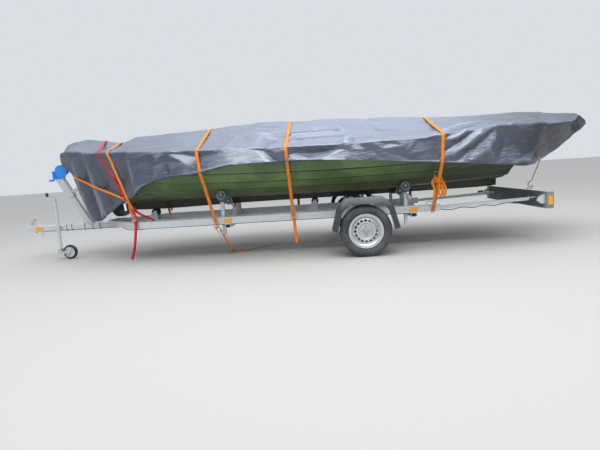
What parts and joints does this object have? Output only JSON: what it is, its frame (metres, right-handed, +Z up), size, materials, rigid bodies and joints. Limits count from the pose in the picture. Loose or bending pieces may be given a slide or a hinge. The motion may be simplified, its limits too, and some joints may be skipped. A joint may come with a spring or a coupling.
{
  "type": "covered clinker motor boat on a road trailer",
  "caption": "Open motor boat with lapped planks under a strapped tarpaulin, resting on the keel and side rollers of a single-axle trailer with jockey wheel, winch post and lighting board.",
  "frame": {"origin": "on the floor, under the middle of the whole outline", "axes": "+X aft, from the coupling to the tail, +Y to starboard, +Z up"},
  "size_m": [7.075, 2.012, 1.582],
  "materials": {
    "amber_lens": "moulded reflector",
    "black_rubber": "matt",
    "board_panel": "painted board",
    "bright_zinc": "bright zinc plate",
    "cover_fabric": "coated cloth, slightly shiny",
    "galvanised": "hot-dip zinc",
    "guard_plastic": "weathered moulding",
    "hub_iron": "cast and machined",
    "hull_gelcoat": "glossy green gelcoat, aged",
    "lamp_lens": "moulded lens",
    "outboard_casting": "painted casting",
    "outboard_cowl": "glossy moulded cowl",
    "plate_blank": "blank, satin",
    "rim_silver": "satin silver paint",
    "roller_plastic": "moulded polymer",
    "strap_webbing": "woven webbing",
    "tyre_rubber": "matt",
    "winch_paint": "gloss paint"
  },
  "bodies": {
    "boat_and_trailer": {"axle_beam": "galvanised", "bow_stop": "black_rubber", "bow_stop_arm": "galvanised", "centre_beam": "galvanised", "coupling_head": "galvanised", "coupling_lever": "bright_zinc", "cross_members": "galvanised", "girth_straps": "strap_webbing", "hull": "hull_gelcoat", "jockey_clamp": "galvanised", "jockey_tube": "galvanised", "junction_plates": "galvanised", "keel_brackets": "galvanised", "mudguard_stays": "galvanised", "mudguards": "guard_plastic", "number_plate": "plate_blank", "outboard_clamp": "outboard_casting", "outboard_engine": "outboard_cowl", "outboard_leg": "outboard_casting", "roller_stand_front": "galvanised", "roller_stand_rear": "galvanised", "side_rail_port": "galvanised", "side_rail_starboard": "galvanised", "side_reflectors": "amber_lens", "swing_arms": "galvanised", "tail_bars": "galvanised", "tail_board": "board_panel", "tail_lamps": "lamp_lens", "tarpaulin": "cover_fabric", "winch": "winch_paint", "winch_handle": "galvanised", "winch_post": "galvanised"},
    "road_wheel_port": {"hub_port": "hub_iron", "rim_port": "rim_silver", "tyre_port": "tyre_rubber"},
    "road_wheel_starboard": {"hub_starboard": "hub_iron", "rim_starboard": "rim_silver", "tyre_starboard": "tyre_rubber"},
    "inner_roller_front_port": {"inner_roller_front_port": "roller_plastic"},
    "inner_roller_front_starboard": {"inner_roller_front_starboard": "roller_plastic"},
    "inner_roller_rear_port": {"inner_roller_rear_port": "roller_plastic"},
    "inner_roller_rear_starboard": {"inner_roller_rear_starboard": "roller_plastic"},
    "keel_roller_front": {"keel_roller_front": "black_rubber"},
    "keel_roller_middle": {"keel_roller_middle": "black_rubber"},
    "outer_roller_front_port": {"outer_roller_front_port": "roller_plastic"},
    "outer_roller_front_starboard": {"outer_roller_front_starboard": "roller_plastic"},
    "outer_roller_rear_port": {"outer_roller_rear_port": "roller_plastic"},
    "outer_roller_rear_starboard": {"outer_roller_rear_starboard": "roller_plastic"},
    "propeller": {"propeller": "outboard_casting"},
    "jockey_stem": {"jockey_stem": "galvanised"},
    "jockey_fork": {"jockey_fork": "bright_zinc"},
    "jockey_wheel": {"jockey_wheel": "black_rubber"}
  },
  "joints": [
    {"name": "road_wheel_port_spin", "type": "hinge", "parent": "boat_and_trailer", "child": "road_wheel_port", "pos_m": [0.79, -0.9, 0.2735], "axis": [0, 1, 0], "continuous": true},
    {"name": "road_wheel_starboard_spin", "type": "hinge", "parent": "boat_and_trailer", "child": "road_wheel_starboard", "pos_m": [0.79, 0.9, 0.2735], "axis": [0, 1, 0], "continuous": true},
    {"name": "outer_roller_front_port_spin", "type": "hinge", "parent": "boat_and_trailer", "child": "outer_roller_front_port", "pos_m": [-0.80333, -0.5095, 0.70862], "axis": [0, -0.8605, 0.5095], "continuous": true},
    {"name": "outer_roller_front_starboard_spin", "type": "hinge", "parent": "boat_and_trailer", "child": "outer_roller_front_starboard", "pos_m": [-0.80333, 0.5095, 0.70862], "axis": [0, 0.8605, 0.5095], "continuous": true},
    {"name": "inner_roller_front_port_spin", "type": "hinge", "parent": "boat_and_trailer", "child": "inner_roller_front_port", "pos_m": [-0.80094, -0.16526, 0.63133], "axis": [0, -0.994, 0.1097], "continuous": true},
    {"name": "inner_roller_front_starboard_spin", "type": "hinge", "parent": "boat_and_trailer", "child": "inner_roller_front_starboard", "pos_m": [-0.80094, 0.16526, 0.63133], "axis": [0, 0.994, 0.1097], "continuous": true},
    {"name": "outer_roller_rear_port_spin", "type": "hinge", "parent": "boat_and_trailer", "child": "outer_roller_rear_port", "pos_m": [1.29203, -0.50764, 0.68163], "axis": [0, -0.879, 0.4768], "continuous": true},
    {"name": "outer_roller_rear_starboard_spin", "type": "hinge", "parent": "boat_and_trailer", "child": "outer_roller_rear_starboard", "pos_m": [1.29203, 0.50764, 0.68163], "axis": [0, 0.879, 0.4768], "continuous": true},
    {"name": "inner_roller_rear_port_spin", "type": "hinge", "parent": "boat_and_trailer", "child": "inner_roller_rear_port", "pos_m": [1.29091, -0.16499, 0.61929], "axis": [0, -0.9946, 0.1039], "continuous": true},
    {"name": "inner_roller_rear_starboard_spin", "type": "hinge", "parent": "boat_and_trailer", "child": "inner_roller_rear_starboard", "pos_m": [1.29091, 0.16499, 0.61929], "axis": [0, 0.9946, 0.1039], "continuous": true},
    {"name": "keel_roller_front_spin", "type": "hinge", "parent": "boat_and_trailer", "child": "keel_roller_front", "pos_m": [-1.79, 0, 0.53698], "axis": [0, 1, 0], "continuous": true},
    {"name": "keel_roller_middle_spin", "type": "hinge", "parent": "boat_and_trailer", "child": "keel_roller_middle", "pos_m": [0.26, 0, 0.55231], "axis": [0, 1, 0], "continuous": true},
    {"name": "propeller_spin", "type": "hinge", "parent": "boat_and_trailer", "child": "propeller", "pos_m": [3.24187, 0, 1.16875], "axis": [0.1564, 0, 0.9877], "continuous": true},
    {"name": "jockey_lift", "type": "slide", "parent": "boat_and_trailer", "child": "jockey_stem", "axis": [0, 0, 1], "range_m": [0, 0.08]},
    {"name": "jockey_swivel", "type": "hinge", "parent": "jockey_stem", "child": "jockey_fork", "pos_m": [-3.08, -0.069, 0.18], "axis": [0, 0, 1], "continuous": true},
    {"name": "jockey_wheel_spin", "type": "hinge", "parent": "jockey_fork", "child": "jockey_wheel", "pos_m": [-2.958, -0.069, 0.0925], "axis": [0, 1, 0], "continuous": true}
  ]
}
